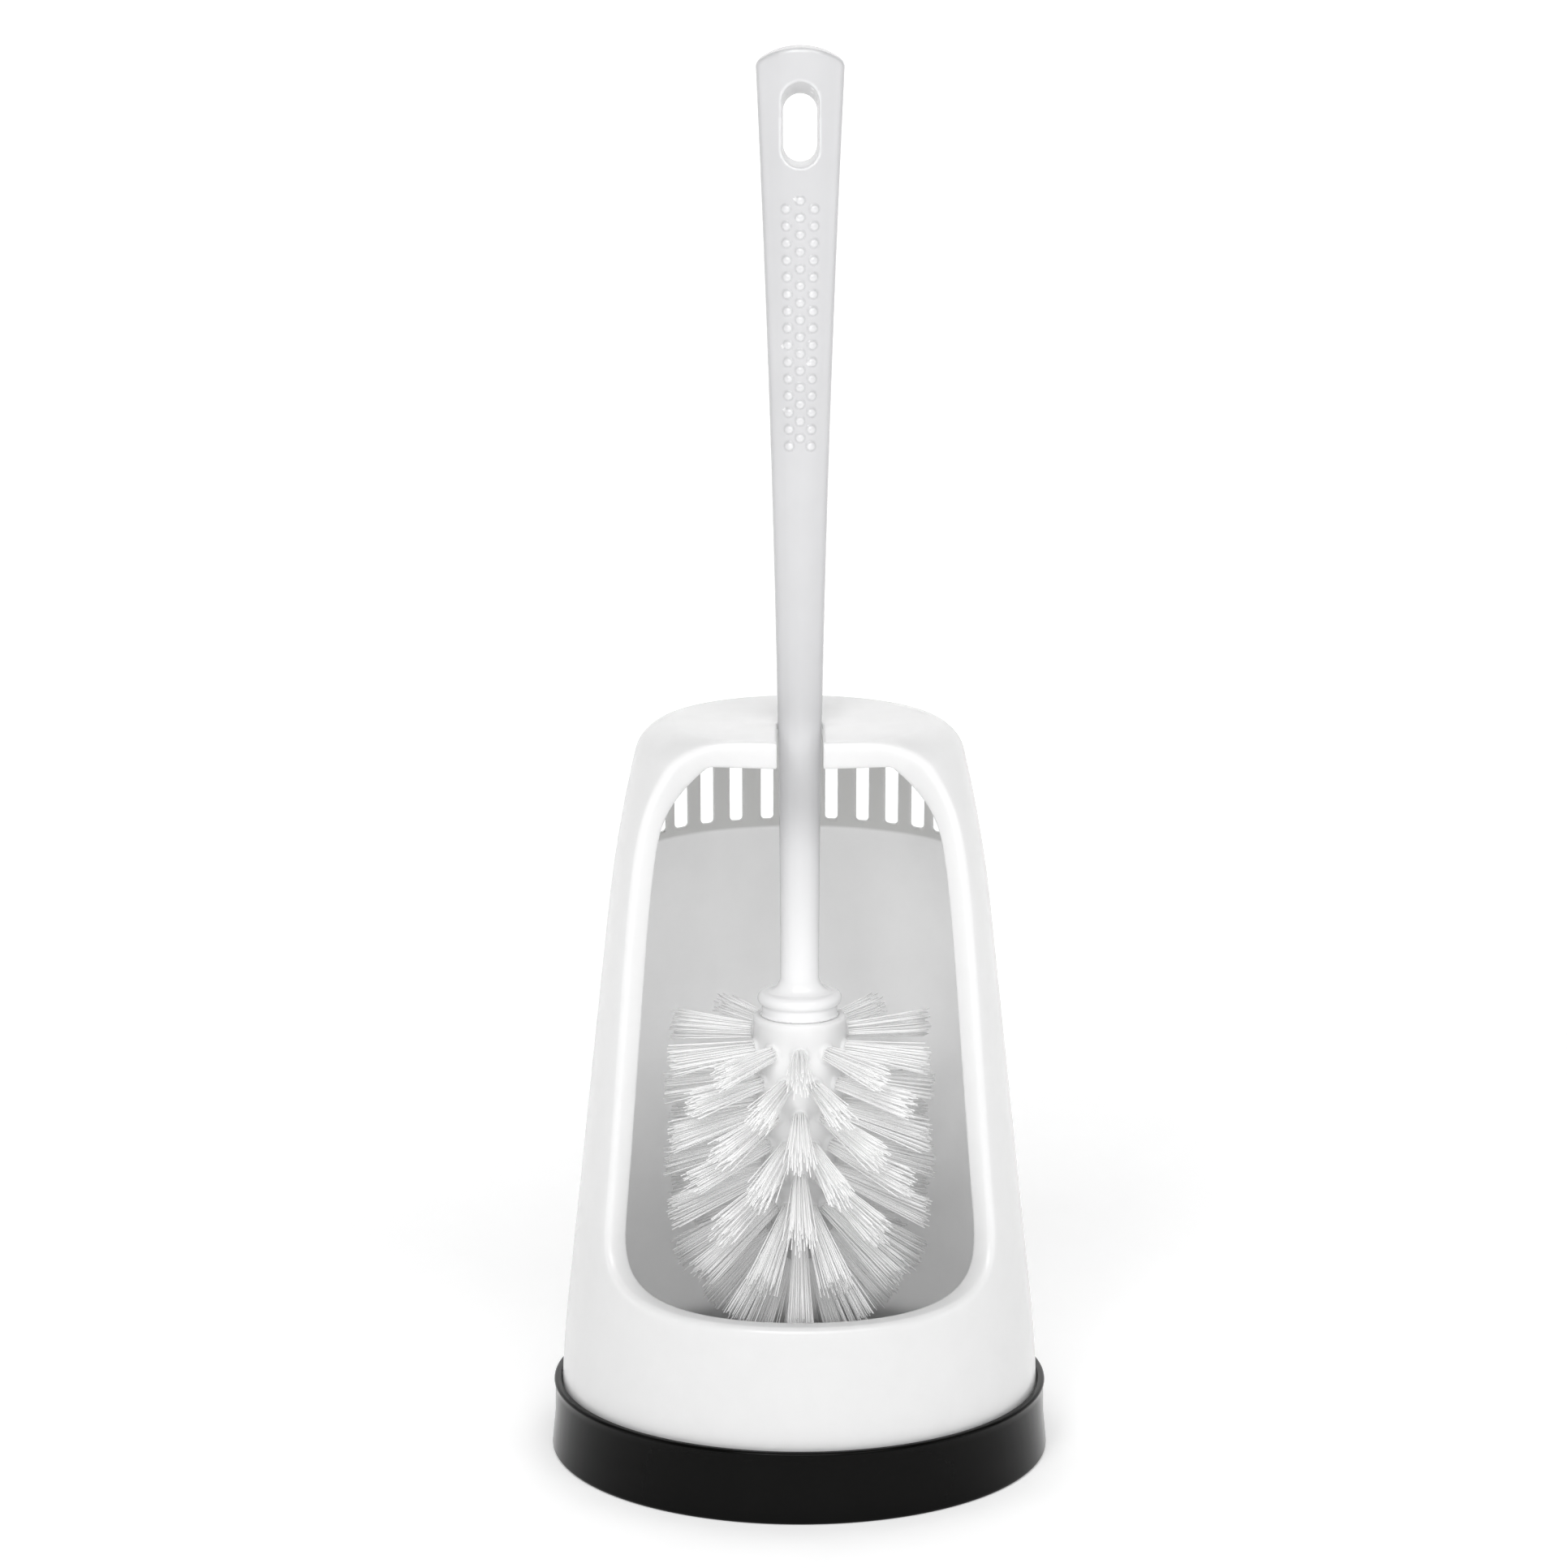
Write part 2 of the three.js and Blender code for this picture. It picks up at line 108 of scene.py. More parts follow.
SLOT_COUNT = 11
SLOT_PITCH = math.radians(10.8)
SLOT_RING = 47.4  # radius of the middle of the wall that the slots go straight back through
SLOT_WIDTH = 3.4
SLOT_BOTTOM = 164.0
SLOT_TOP = 188.0
GRILLE_LOW = 161.4  # where the band with the slots starts
GRILLE_RADIUS = 48.8  # of the middle of the wall there
GRILLE_LEAN = 0.18  # how fast that radius shrinks upwards
GRILLE_STEP = 0.16  # how much thinner the wall is in the band
NOTCH_HALF_WIDTH = 6.05
NOTCH_DEPTH = 16

HANDLE_TOP = HANDLE_HIGH[2]
HANDLE_HALF_WIDTH = HANDLE_HIGH[0]
HANDLE_HALF_DEPTH = 7.0
STEM_RADIUS = 5.25
STEM_TOP = 136.0
HANDLE_SHOULDER = 374.0
HANDLE_FLARE = 1.74
HANDLE_CAP_RADIUS = 19.0
HANDLE_CAP_EDGE = 1.3
SIDE_FLAT_TILT = math.radians(24)  # of the flats beside the front one
HANG_HOLE_BOTTOM = 347.6
HANG_HOLE_TOP = 370.0
HANG_HOLE_RADIUS = 5.0
HANG_HOLE_NARROWING = 0.65  # of that radius, from front to back
HANG_HOLE_CEILING = 4.2  # how much lower its ceiling is at the back

GRIP_ROWS = 15
GRIP_LOWEST = 277.2
GRIP_PITCH = 4.43
GRIP_RADIUS = 1.2
GRIP_PROUD = 1.2
GRIP_SPREAD = 0.375  # of the handle's half width, out to the side dots

RING_RADIUS = 11.35
RING_CENTRE = 125.0
RING_HALF_HEIGHT = 1.75
RING_FLARE = 4.2
NECK_RADIUS = 10.2
SPIGOT_RADIUS = 5.0
SPIGOT_MIDDLE = 110
SPIGOT_HALF_HEIGHT = 14

CORE_TOP = CORE_HIGH[2]
CORE_BOTTOM = CORE_LOW[2]
CORE_RADIUS = 12.5
FLANGE_RADIUS = CORE_HIGH[0] - 0.1
FLANGE_HALF_HEIGHT = 1.15
CORE_TIP_RADIUS = 8.0
CORE_TAPER_TOP = 104.0
CORE_TAPER_BOTTOM = 68.0
BOSS_RADIUS = 2.5  # of the rim round each tuft's hole
BOSS_PROUD = 0.7
SOCKET_RADIUS = 5.3
SOCKET_DEPTH = 24.6

TUFT_REACH = 36.5  # radius of the trimmed brush
TUFT_ROUNDING = 67.0  # height of the centre of the ball that the trimming follows below
TUFT_ROOT_RADIUS = 1.9
TUFT_END_RADIUS = 4.4
TUFT_FILAMENTS = 42
FILAMENT_RADIUS = 0.16
GOLDEN_ANGLE = 2.39996  # from each filament to the next, so that they fill a tuft evenly
END_TUFTS = 5  # round the one at the tip
END_TUFT_CIRCLE = 3.4
END_TUFT_DROOP = 1.22  # in radians
FIRST_ROW = 112.0
ROW_PITCH = 8.67
# Tufts in each ring and how far they droop, in degrees, from the top ring down
ROWS = [(10, 4), (10, 7), (10, 13), (10, 15), (10, 19), (10, 32), (8, 50)]
BACK_TUFT_RAISE = 3.0  # of the top ring's tufts at the sides and back, which stand out level


# ---- fields ----
def round_max(a, b, radius):
    """The overlap of two fields, its outer edge rounded."""
    rounded = np.hypot(np.maximum(a + radius, 0), np.maximum(b + radius, 0))
    return np.minimum(np.maximum(a, b), -radius) + rounded


def round_min(a, b, radius):
    """The union of two fields, its inner corner filled by a fillet."""
    filled = np.hypot(np.maximum(radius - a, 0), np.maximum(radius - b, 0))
    return np.maximum(np.minimum(a, b), radius) - filled


def ease(value, low, high):
    """0 below low, 1 above high, smooth between."""
    t = np.clip((value - low) / (high - low), 0, 1)
    return t * t * (3 - 2 * t)


def rounded_box(across, up, half_across, half_up, corner):
    """A rectangle with round corners in two coordinates."""
    a = np.abs(across) - half_across + corner
    b = np.abs(up) - half_up + corner
    return np.hypot(np.maximum(a, 0), np.maximum(b, 0)) + np.minimum(np.maximum(a, b), 0) - corner


def superellipse(across, up, half_across, half_up, power):
    """A squared ellipse, scaled to give about the distance in millimetres near its edge."""
    u = np.abs(across) / half_across
    v = np.abs(up) / half_up
    level = np.maximum((u**power + v**power) ** (1 / power), 1e-6)
    slope = np.hypot(
        (u / level) ** (power - 1) / half_across, (v / level) ** (power - 1) / half_up
    )
    return (level - 1) / np.maximum(slope, 1e-6)


# ---- meshing ----
def sample(field, low, counts, step):
    """The field on a grid, worked out point by point only in blocks near its surface."""
    block = 4
    blocks = [-(-n // block) for n in counts]
    axes = [low[i] + step * (np.arange(blocks[i]) * block + (block - 1) / 2) for i in range(3)]
    middles = np.stack(np.meshgrid(*axes, indexing="ij"), -1).reshape(-1, 3)
    rough = field(*middles.T)
    reach = 1.15 * step * (block + 1.5) * math.sqrt(3) / 2
    values = np.repeat(np.where(rough < 0, -9.0, 9.0).astype(np.float32), block**3)
    values = values.reshape(-1, block, block, block)
    near = np.flatnonzero(np.abs(rough) < reach)
    offsets = (np.arange(block) - (block - 1) / 2) * step
    ox, oy, oz = np.meshgrid(offsets, offsets, offsets, indexing="ij")
    for some in np.array_split(near, max(1, len(near) // 20000)):
        x = middles[some, 0][:, None, None, None] + ox
        y = middles[some, 1][:, None, None, None] + oy
        z = middles[some, 2][:, None, None, None] + oz
        values[some] = field(x.ravel(), y.ravel(), z.ravel()).reshape(x.shape)
    values = values.reshape(*blocks, block, block, block)
    values = values.transpose(0, 3, 1, 4, 2, 5)
    return values.reshape([n * block for n in blocks])


def surface_quads(values):
    """One point in each grid cell that the surface passes, and the quads that join them."""
    inside = values < 0
    corners = [(i, j, k) for i in (0, 1) for j in (0, 1) for k in (0, 1)]
    shape = [n - 1 for n in values.shape]
    count = np.zeros(shape, np.int8)
    for i, j, k in corners:
        count += inside[i : i + shape[0], j : j + shape[1], k : k + shape[2]]
    active = (count > 0) & (count < 8)
    cells = np.argwhere(active)
    number = np.full(shape, -1, np.int32)
    number[active] = np.arange(len(cells))
    total = np.zeros((len(cells), 3))
    hits = np.zeros(len(cells))
    for a in corners:
        for axis in range(3):
            if a[axis]:
                continue
            b = list(a)
            b[axis] = 1
            va = values[tuple((cells + a).T)].astype(float)
            vb = values[tuple((cells + b).T)].astype(float)
            crossed = (va < 0) != (vb < 0)
            share = np.where(crossed, va / np.where(crossed, va - vb, 1), 0)
            point = np.array(a, float) + share[:, None] * (np.array(b) - a)
            total += point * crossed[:, None]
            hits += crossed
    points = cells + total / hits[:, None]
    quads = []
    for axis in range(3):
        one, two = (axis + 1) % 3, (axis + 2) % 3
        first = [slice(None)] * 3
        second = [slice(None)] * 3
        first[axis], second[axis] = slice(0, -1), slice(1, None)
        here, there = inside[tuple(first)], inside[tuple(second)]
        at = np.argwhere(here != there)
        at = at[(at[:, one] > 0) & (at[:, two] > 0)]
        at = at[(at[:, one] < shape[one]) & (at[:, two] < shape[two])]
        ring = []
        for back_one, back_two in ((1, 1), (0, 1), (0, 0), (1, 0)):
            cell = at.copy()
            cell[:, one] -= back_one
            cell[:, two] -= back_two
            ring.append(number[tuple(cell.T)])
        ring = np.stack(ring, -1)
        outwards = here[tuple(at.T)]
        quads.append(np.where(outwards[:, None], ring, ring[:, ::-1]))
    return points, np.concatenate(quads)


def slope_of(field, points, span=0.02):
    """The field's gradient, by small steps to each side."""
    parts = []
    for axis in range(3):
        move = np.zeros(3)
        move[axis] = span
        parts.append((field(*(points + move).T) - field(*(points - move).T)) / (2 * span))
    return np.stack(parts, -1)


def settle(field, points, limit, rounds=2):
    """Moves points onto the surface."""
    for _ in range(rounds):
        slope = slope_of(field, points)
        size = np.maximum((slope**2).sum(-1), 0.04)
        move = slope * (field(*points.T) / size)[:, None]
        length = np.linalg.norm(move, axis=-1)
        points = points - move * np.minimum(1, limit / np.maximum(length, 1e-9))[:, None]
    return points


def relax(points, quads, share=0.6):
    """Moves each point towards the middle of its neighbours."""
    ends = np.concatenate([quads[:, [i, (i + 1) % 4]] for i in range(4)])
    count = np.bincount(ends[:, 0], minlength=len(points))
    count = count + np.bincount(ends[:, 1], minlength=len(points))
    middle = np.empty_like(points)
    for axis in range(3):
        one = np.bincount(ends[:, 0], points[ends[:, 1], axis], minlength=len(points))
        two = np.bincount(ends[:, 1], points[ends[:, 0], axis], minlength=len(points))
        middle[:, axis] = (one + two) / count
    return points + share * (middle - points)


def mesh_object(name, points, loops, sizes):
    """A smooth-shaded mesh object from points in millimetres and faces of the given sizes."""
    mesh = bpy.data.meshes.new(name)
    mesh.vertices.add(len(points))
    mesh.vertices.foreach_set("co", (points * MM).astype(np.float32).ravel())
    mesh.loops.add(len(loops))
    mesh.loops.foreach_set("vertex_index", loops.astype(np.int32))
    mesh.polygons.add(len(sizes))
    starts = np.concatenate([[0], np.cumsum(sizes)[:-1]])
    mesh.polygons.foreach_set("loop_start", starts.astype(np.int32))
    mesh.update(calc_edges=True)
    mesh.validate()
    mesh.polygons.foreach_set("use_smooth", np.ones(len(mesh.polygons), bool))
    piece = bpy.data.objects.new(name, mesh)
    bpy.context.scene.collection.objects.link(piece)
    return piece


def skin_of(name, field, low, high, step):
    """A closed mesh of quads about step across, on the surface where the field is zero."""
    low = np.array(low, float) - 2.37 * step
    counts = np.ceil((np.array(high) + 2 * step - low) / step).astype(int) + 1
    points, quads = surface_quads(sample(field, low, counts, step))
    points = low + points * step
    for _ in range(2):
        points = settle(field, relax(points, quads), step)
    return mesh_object(name, points, quads.ravel(), np.full(len(quads), 4))


# ---- drip tray ----
def arc(centre, radius, start, end, steps=8):
    """Points on an arc in the (radius, height) plane, angles in degrees from outwards."""
    turns = np.radians(np.linspace(start, end, steps + 1))
    return [(centre[0] + radius * math.cos(t), centre[1] + radius * math.sin(t)) for t in turns]


def tray_profile():
    """The tray's closed section, from the middle of its underside outwards and back."""
    inner = TRAY_RIM_RADIUS - TRAY_WALL
    points = [(0.0, 0.0)]
    points += arc((TRAY_FOOT_RADIUS - 1.0, 1.0), 1.0, -90, 4)
    points += [(TRAY_RIM_RADIUS - 0.25, TRAY_HEIGHT * 0.5), (TRAY_RIM_RADIUS - 0.3, 16.6)]
    points += arc((TRAY_RIM_RADIUS - 0.75, TRAY_HEIGHT - 0.75), 0.75, -30, 90)
    points += arc((inner + 0.5, TRAY_HEIGHT - 0.5), 0.5, 90, 180, 5)
    points += arc((inner - 1.5, TRAY_FLOOR + 1.5), 1.5, 0, -90, 6)
    points += [(0.0, TRAY_FLOOR)]
    return points


def turned(name, profile, steps):
    """A closed section, whose ends lie on the axis, turned round the axis."""
    ring = np.array(profile[1:-1])
    turns = np.linspace(0, 2 * math.pi, steps, endpoint=False)
    points = np.stack(
        [
            np.outer(np.cos(turns), ring[:, 0]),
            np.outer(np.sin(turns), ring[:, 0]),
            np.tile(ring[:, 1], (steps, 1)),
        ],
        -1,
    ).reshape(-1, 3)
    points = np.concatenate([points, [[0, 0, profile[0][1]], [0, 0, profile[-1][1]]]])
    size = len(ring)
    here = np.arange(steps)[:, None] * size
    there = ((np.arange(steps) + 1) % steps)[:, None] * size
    along = np.arange(size - 1)[None, :]
    walls = np.stack([here + along, there + along, there + along + 1, here + along + 1], -1)
    low, high = len(points) - 2, len(points) - 1
    ends = []
    for i in range(steps):
        a, b = here[i, 0], there[i, 0]
        ends += [low, b, a, high, a + size - 1, b + size - 1]
    loops = np.concatenate([walls.ravel(), ends])
    sizes = np.concatenate([np.full(walls.size // 4, 4), np.full(len(ends) // 3, 3)])
    return mesh_object(name, points, loops, sizes)


# ---- holder ----
def holder_skin(x, y, z):
    """Distance outside the holder's outer face, the way up the face, and how much the way runs on
    where the hood bends inwards."""
    r = np.hypot(x, y)
    aside, along = x / HOOD_DENT_REACH, (y - HOOD_DENT_MIDDLE) / HOOD_DENT_LENGTH
    dent = HOOD_DENT * np.exp(-(aside**2) - along**2) * ease(z, 150, 190)
    z = z + dent
    below = np.maximum(FOOT_BEND - z, 0)
    above = np.maximum(z - CROWN_BEND, 0)
    radius = CONE_RADIUS - CONE_SLOPE * (z - CONE_HEIGHT)
    radius = radius - FOOT_CURVE * below**2 - CROWN_CURVE * above**2
    lean = CONE_SLOPE - 2 * FOOT_CURVE * below + 2 * CROWN_CURVE * above
    side = (r - radius) / np.sqrt(1 + lean**2)
    skin = round_max(side, z - HOLDER_TOP, HOOD_ROUNDING)
    out = r - BEND_RADIUS
    up = np.maximum(z - BEND_HEIGHT, 0)
    way = z - up + BEND * np.arctan2(up, np.where(up > 0, out, 1))
    stretch = np.where(up > 0, BEND / np.maximum(np.hypot(out, up), 5), 1)
    return skin, way, stretch


def opening_field(x, y, way, stretch):
    """Distance outside the arched opening, measured along the wall."""
    angle = np.abs(np.arctan2(x, -y))
    half = OPENING_LOWER_ANGLE + (OPENING_UPPER_ANGLE - OPENING_LOWER_ANGLE) * ease(way, 60, 180)
    r = np.maximum(np.hypot(x, y), 15)
    lower = (OPENING_BOTTOM + OPENING_LOWER_CORNER - way) / OPENING_LOWER_CORNER
    upper = (way - OPENING_TOP + OPENING_UPPER_CORNER) / OPENING_UPPER_CORNER
    is_upper = upper > 0
    v = np.maximum(np.maximum(lower, upper), 0)
    power = np.where(is_upper, OPENING_UPPER_POWER, OPENING_LOWER_POWER)
    corner = np.where(is_upper, OPENING_UPPER_CORNER, OPENING_LOWER_CORNER)
    u = angle / half
    level = np.maximum((u**power + v**power) ** (1 / power), 1e-6)
    slope = np.hypot(
        (u / level) ** (power - 1) / (half * r), (v / level) ** (power - 1) / corner * stretch
    )
    return (level - 1) / np.maximum(slope, 1e-4)


def slot_field(x, y, z):
    """The ventilation slots through the back wall."""
    middle = (SLOT_COUNT - 1) // 2
    angle = np.arcsin(np.clip(x / SLOT_RING, -1, 1))
    k = np.clip(np.round(angle / SLOT_PITCH), -middle, middle)
    across = x - SLOT_RING * np.sin(k * SLOT_PITCH)
    up = z - (SLOT_BOTTOM + SLOT_TOP) / 2
    slot = rounded_box(across, up, SLOT_WIDTH / 2, (SLOT_TOP - SLOT_BOTTOM) / 2, 1.0)
    return np.maximum(slot, 20 - y)


def notch_field(x, y, z):
    """The U-shaped cut in the hood that the handle slides into."""
    across = np.hypot(x, np.maximum(y, 0)) - NOTCH_HALF_WIDTH
    return np.maximum(across, HOLDER_TOP - NOTCH_DEPTH - z)


def holder_field(x, y, z):
    """The holder: a wall of even thickness that folds inwards round the opening."""
    skin, way, stretch = holder_skin(x, y, z)
    opening = opening_field(x, y, way, stretch)
    folded = round_max(skin, -opening, FOLD_RADIUS)
    wall = WALL - GRILLE_STEP * ease(z, GRILLE_LOW - 0.5, GRILLE_LOW + 0.5) * (y > -10)
    sheet = np.maximum(folded, -folded - wall)
    lip = LIP_DEPTH + LIP_DEEPER * ease(way, 172, 203)
    sheet = round_max(sheet, -skin - lip, LIP_EDGE)
    sheet = round_max(sheet, HOLDER_FOOT - z, FOOT_EDGE)
    sheet = round_max(sheet, -slot_field(x, y, z), SLOT_EDGE)
    return round_max(sheet, -notch_field(x, y, z), NOTCH_EDGE)


# ---- brush handle ----
def handle_halves(z):
    """Half the width and half the depth of the handle at a height."""
    share = np.clip((z - STEM_TOP) / (HANDLE_SHOULDER - STEM_TOP), 0, 1) ** HANDLE_FLARE
    half_width = STEM_RADIUS + (HANDLE_HALF_WIDTH - STEM_RADIUS) * share
    half_depth = STEM_RADIUS + (HANDLE_HALF_DEPTH - STEM_RADIUS) * share
    return half_width, half_depth, share


def blade_field(x, y, z):
    """The handle without its hole, dots and collar."""
    half_width, half_depth, share = handle_halves(z)
    body = superellipse(x, y, half_width, half_depth, 2 + 0.6 * share)
    front = -y - half_depth * 0.975
    body = round_max(body, front, 1.2)
    sine, cosine = math.sin(SIDE_FLAT_TILT), math.cos(SIDE_FLAT_TILT)
    for side in (-1, 1):
        face = side * x * sine - y * cosine
        reach = 0.955 * half_depth * cosine + half_width * 0.30 * sine
        body = round_max(body, face - reach, 1.5)
    cap = np.sqrt(np.maximum(HANDLE_CAP_RADIUS**2 - x**2, 1.0))
    top = z - (HANDLE_TOP - HANDLE_CAP_RADIUS + cap)
    body = round_max(body, top, HANDLE_CAP_EDGE)
    return np.maximum(body, RING_CENTRE - z)


def hang_hole_field(x, y, z):
    """The hanging hole: a loop that narrows from front to back, with a sloping ceiling."""
    back = np.clip((y + HANDLE_HALF_DEPTH) / (2 * HANDLE_HALF_DEPTH), -0.3, 1.3)
    radius = HANG_HOLE_RADIUS - HANG_HOLE_NARROWING * back
    low = HANG_HOLE_BOTTOM + 0.8 * back + radius
    high = HANG_HOLE_TOP - HANG_HOLE_CEILING * back - radius
    nearest = np.clip(z, low, high)
    return np.hypot(x, z - nearest) - radius


def grip_dots_field(x, y, z, blade):
    """Three upright lines of round dots on the handle's front, the outer two half a step off."""
    field = np.full_like(x, 9.0)
    for side in (-1, 0, 1):
        lowest = GRIP_LOWEST - (GRIP_PITCH / 2 if side else 0)
        row = np.clip(np.round((z - lowest) / GRIP_PITCH), 0, GRIP_ROWS - 1)
        height = lowest + row * GRIP_PITCH
        half_width, _, _ = handle_halves(height)
        away = np.hypot(x - side * GRIP_SPREAD * half_width, z - height)
        dome = np.hypot(away, blade * GRIP_RADIUS / GRIP_PROUD) - GRIP_RADIUS
        field = np.minimum(field, dome)
    return np.maximum(field, y)


def handle_field(x, y, z):
    """The handle with its hole, dots, ring collar, neck and spigot."""
    r = np.hypot(x, y)
    blade = blade_field(x, y, z)
    field = round_max(blade, -hang_hole_field(x, y, z), 0.7)
    field = round_min(field, grip_dots_field(x, y, z, blade), 0.3)
    ring = rounded_box(r, z - RING_CENTRE, RING_RADIUS, RING_HALF_HEIGHT, 1.65)
    neck = np.maximum(r - NECK_RADIUS - 0.6 * ease(z, CORE_TOP + 0.8, CORE_TOP), CORE_TOP + 0.05 - z)
    neck = np.maximum(neck, z - RING_CENTRE)
    spigot = rounded_box(r, z - SPIGOT_MIDDLE, SPIGOT_RADIUS, SPIGOT_HALF_HEIGHT, 0.6)
    field = round_min(field, ring, RING_FLARE)
    return np.minimum(round_min(field, neck, 0.5), spigot)


# ---- brush head ----
def core_radius(z):
    """The core's radius at a height, without its flange, bosses and round tip."""
    share = np.clip((z - CORE_TAPER_BOTTOM) / (CORE_TAPER_TOP - CORE_TAPER_BOTTOM), 0, 1)
    return CORE_TIP_RADIUS + (CORE_RADIUS - CORE_TIP_RADIUS) * share


def tuft_roots():
    """Each ring's tufts as (root, direction) pairs, and last the tufts under the tip."""
    rings = []
    for index, (count, droop) in enumerate(ROWS):
        z = FIRST_ROW - index * ROW_PITCH
        tilt = math.radians(droop)
        radius = float(core_radius(z))
        if z < CORE_TAPER_BOTTOM:
            drop = (CORE_TAPER_BOTTOM - z) / (CORE_TAPER_BOTTOM - CORE_BOTTOM)
            radius *= math.sqrt(1 - drop**2)
        ring = []
        for i in range(count):
            turn = (i + (index % 2) / 2) * 2 * math.pi / count
            out = np.array([math.sin(turn), -math.cos(turn), 0.0])
            raised = index == 0 and out[1] > 0.2
            root = out * radius + [0, 0, z + BACK_TUFT_RAISE * raised]
            fall = 0.0 if raised else tilt
            ring.append((root, out * math.cos(fall) + [0, 0, -math.sin(fall)]))
        rings.append(ring)
    tip = [(np.array([0, 0, CORE_BOTTOM + 0.5]), np.array([0, 0, -1.0]))]
    for i in range(END_TUFTS):
        turn = i * 2 * math.pi / END_TUFTS
        out = np.array([math.sin(turn), -math.cos(turn), 0.0])
        root = out * END_TUFT_CIRCLE + [0, 0, CORE_BOTTOM + 1.5]
        fall = [0, 0, -math.sin(END_TUFT_DROOP)]
        tip.append((root, out * math.cos(END_TUFT_DROOP) + fall))
    rings.append(tip)
    return rings


def core_field(x, y, z):
    """The core with its flange, a boss at each tuft and the socket for the spigot."""
    r = np.hypot(x, y)
    below = np.maximum(CORE_TAPER_BOTTOM - z, 0) / (CORE_TAPER_BOTTOM - CORE_BOTTOM)
    body = np.hypot(r, below * CORE_TIP_RADIUS) - core_radius(z)
    body = round_max(body, z - CORE_TOP + 0.3, 0.5)
    rim = rounded_box(r, z - CORE_TOP + FLANGE_HALF_HEIGHT, FLANGE_RADIUS, FLANGE_HALF_HEIGHT, 0.7)
    body = round_min(body, rim, 0.25)
    for ring in tuft_roots():
        for root, along in ring:
            close = (np.abs(z - root[2]) < 6) & ((x - root[0]) ** 2 + (y - root[1]) ** 2 < 36)
            if not close.any():
                continue
            px, py, pz = x[close] - root[0], y[close] - root[1], z[close] - root[2]
            ahead = px * along[0] + py * along[1] + pz * along[2]
            aside = np.sqrt(np.maximum(px**2 + py**2 + pz**2 - ahead**2, 0))
            boss = round_max(aside - BOSS_RADIUS, ahead - BOSS_PROUD, 0.4)
            body[close] = round_min(body[close], boss, 0.6)
    socket = rounded_box(r, z - CORE_TOP, SOCKET_RADIUS, SOCKET_DEPTH, 0.5)
    return np.maximum(body, -socket)


# ---- bristles ----
def tuft_length(root, along):
    """How far it is from a root, along a direction, to the trimmed envelope."""
    length = 0.0
    while True:
        at = root + along * length
        drop = max(TUFT_ROUNDING - at[2], 0)
        if math.hypot(at[0], at[1], drop) >= TUFT_REACH:
            return length
        length += 0.1


def filaments_of(ring, random):
    """The centre lines of a ring's filaments: an array of filament, station and coordinate."""
    stations = np.linspace(0, 1, 6)
    lines = []
    for root, along in ring:
        side = np.cross(along, [0, 0, 1.0])
        if np.linalg.norm(side) < 0.1:
            side = np.array([1.0, 0, 0])
        side /= np.linalg.norm(side)
        lift = np.cross(side, along)
        for i in range(TUFT_FILAMENTS):
            spread = math.sqrt((i + 0.5) / TUFT_FILAMENTS)
            turn = i * GOLDEN_ANGLE + random.uniform(-0.2, 0.2)
            away = side * math.cos(turn) + lift * math.sin(turn)
            end = TUFT_END_RADIUS * spread * random.uniform(0.75, 1.12)
            start = root - along * 1.5 + away * TUFT_ROOT_RADIUS * spread
            aim = root + along * 25 + away * end - start
            aim /= np.linalg.norm(aim)
            length = tuft_length(start, aim) + random.uniform(-1.5, 0.3)
            bend = np.cross(aim, random.normal(size=3)) * random.uniform(0, 0.5)
            curve = (stations**2)[:, None] * bend
            lines.append(start + stations[:, None] * aim * length + curve)
    return np.array(lines)


def bristle_mesh(name, lines, radius, sides=5):
    """A thin closed rod along each line, with blunt ends."""
    count, stations, _ = lines.shape
    along = np.gradient(lines, axis=1)
    along /= np.linalg.norm(along, axis=-1, keepdims=True)
    side = np.cross(along, np.array([0.13, 0.21, 0.97]))
    side /= np.linalg.norm(side, axis=-1, keepdims=True)
    lift = np.cross(along, side)
    turns = np.arange(sides) * 2 * math.pi / sides
    across = np.cos(turns)[None, None, :, None] * side[:, :, None, :]
    across = across + np.sin(turns)[None, None, :, None] * lift[:, :, None, :]
    points = lines[:, :, None, :] + across * radius
    first = np.arange(count)[:, None, None] * stations * sides
    station = np.arange(stations - 1)[None, :, None] * sides
    a = first + station + np.arange(sides)[None, None, :]
    b = first + station + ((np.arange(sides) + 1) % sides)[None, None, :]
    walls = np.stack([a, b, b + sides, a + sides], -1).reshape(-1, 4)
    low = (np.arange(count) * stations * sides)[:, None] + np.arange(sides)[::-1][None, :]
    high = low[:, ::-1] + (stations - 1) * sides
    loops = np.concatenate([walls.ravel(), low.ravel(), high.ravel()])
    sizes = np.concatenate([np.full(len(walls), 4), np.full(2 * count, sides)])
    piece = mesh_object(name, points.reshape(-1, 3), loops, sizes)
    smooth = np.concatenate([np.ones(len(walls), bool), np.zeros(2 * count, bool)])
    piece.data.polygons.foreach_set("use_smooth", smooth)
    return piece


